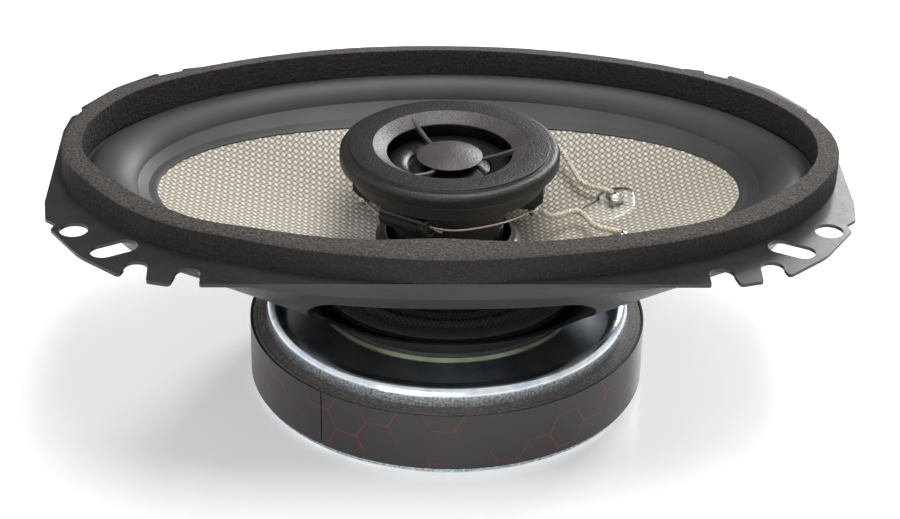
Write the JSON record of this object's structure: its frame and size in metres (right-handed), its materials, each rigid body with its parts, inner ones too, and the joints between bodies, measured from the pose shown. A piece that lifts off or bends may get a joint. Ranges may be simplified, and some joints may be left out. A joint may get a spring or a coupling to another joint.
{
  "type": "oval coaxial car speaker",
  "caption": "Oval coaxial car speaker with a woven cone on a rubber surround, a tweeter on a post over it, foam gasket, steel basket and ring magnet.",
  "frame": {"origin": "centre of the motor's flat underside, below the middle of the oval", "axes": "+Z points out of the front, at the listener; +X along the oval's long axis; -Y is the side away from the terminals"},
  "size_m": [0.1552, 0.094, 0.0522],
  "materials": {
    "zinc_steel": "bright zinc-plated pressed steel",
    "ferrite": "ground sintered ferrite",
    "wrap_film": "printed satin film with a fine hexagon line pattern",
    "black_steel": "satin black powder coat on pressed steel",
    "rivet_steel": "black coated rivet heads",
    "foam": "closed-cell foam with cut faces",
    "fibreboard": "pressed fibre ring",
    "spider_cloth": "black resin-set woven cloth",
    "rubber": "satin moulded butyl rubber",
    "glass_fibre": "woven glass fibre in clear resin",
    "amber_glue": "cured amber adhesive",
    "clear_glue": "cured clear adhesive",
    "aluminium_foil": "thin rolled aluminium",
    "copper_wire": "enamelled copper wire",
    "brass_eyelet": "pressed brass",
    "solder": "bright solder",
    "post_plastic": "dark moulded plastic",
    "tweeter_plastic": "fine-textured moulded ABS",
    "screw_steel": "zinc-plated screw steel",
    "neodymium": "nickel-plated magnet",
    "dome_film": "glossy polymer film",
    "tin_pin": "tinned brass",
    "capacitor_sleeve": "black heat-shrink sleeve",
    "tinned_wire": "tinned copper wire",
    "braid": "silvery braided tinsel lead",
    "laminate": "paper laminate board",
    "terminal_brass": "tin-plated brass blade"
  },
  "bodies": {
    "frame": {"yoke": "zinc_steel", "magnet": "ferrite", "magnet_wrap": "wrap_film", "top_plate": "zinc_steel", "basket": "black_steel", "basket_rivets": "rivet_steel", "foam_gasket": "foam", "spider_ring": "fibreboard", "tweeter_post": "post_plastic", "centre_screw": "screw_steel", "tweeter_pot": "zinc_steel", "tweeter_magnet": "neodymium", "tweeter_pole_plate": "zinc_steel", "tweeter_housing": "tweeter_plastic", "tweeter_bezel": "tweeter_plastic", "tweeter_pins": "tin_pin", "lug_solder": "solder", "capacitor": "capacitor_sleeve", "capacitor_wire_long": "tinned_wire", "capacitor_wire_short": "tinned_wire", "terminal_board": "laminate", "terminal_positive": "terminal_brass", "terminal_negative": "terminal_brass", "terminal_rivets": "rivet_steel"},
    "cone": {"cone": "glass_fibre", "surround": "rubber", "spider": "spider_cloth", "neck_glue": "amber_glue", "voice_coil_former": "aluminium_foil", "voice_coil_winding": "copper_wire", "coil_leadouts": "copper_wire", "cone_eyelets": "brass_eyelet", "eyelet_glue": "clear_glue", "front_lead_positive": "braid", "front_lead_negative": "braid", "rear_lead_positive": "braid", "rear_lead_negative": "braid"},
    "dome": {"tweeter_dome": "dome_film", "tweeter_surround": "dome_film", "tweeter_coil": "copper_wire"}
  },
  "joints": [
    {"name": "cone_stroke", "type": "slide", "parent": "frame", "child": "cone", "axis": [0, 0, 1], "range_m": [-0.003, 0.003], "stiffness_N_per_m": 1900, "deforming": ["surround", "spider", "front_lead_positive", "front_lead_negative", "rear_lead_positive", "rear_lead_negative"]},
    {"name": "tweeter_stroke", "type": "slide", "parent": "frame", "child": "dome", "axis": [0, 0, 1], "range_m": [-0.00025, 0.00025], "stiffness_N_per_m": 300, "deforming": ["tweeter_surround"]}
  ]
}
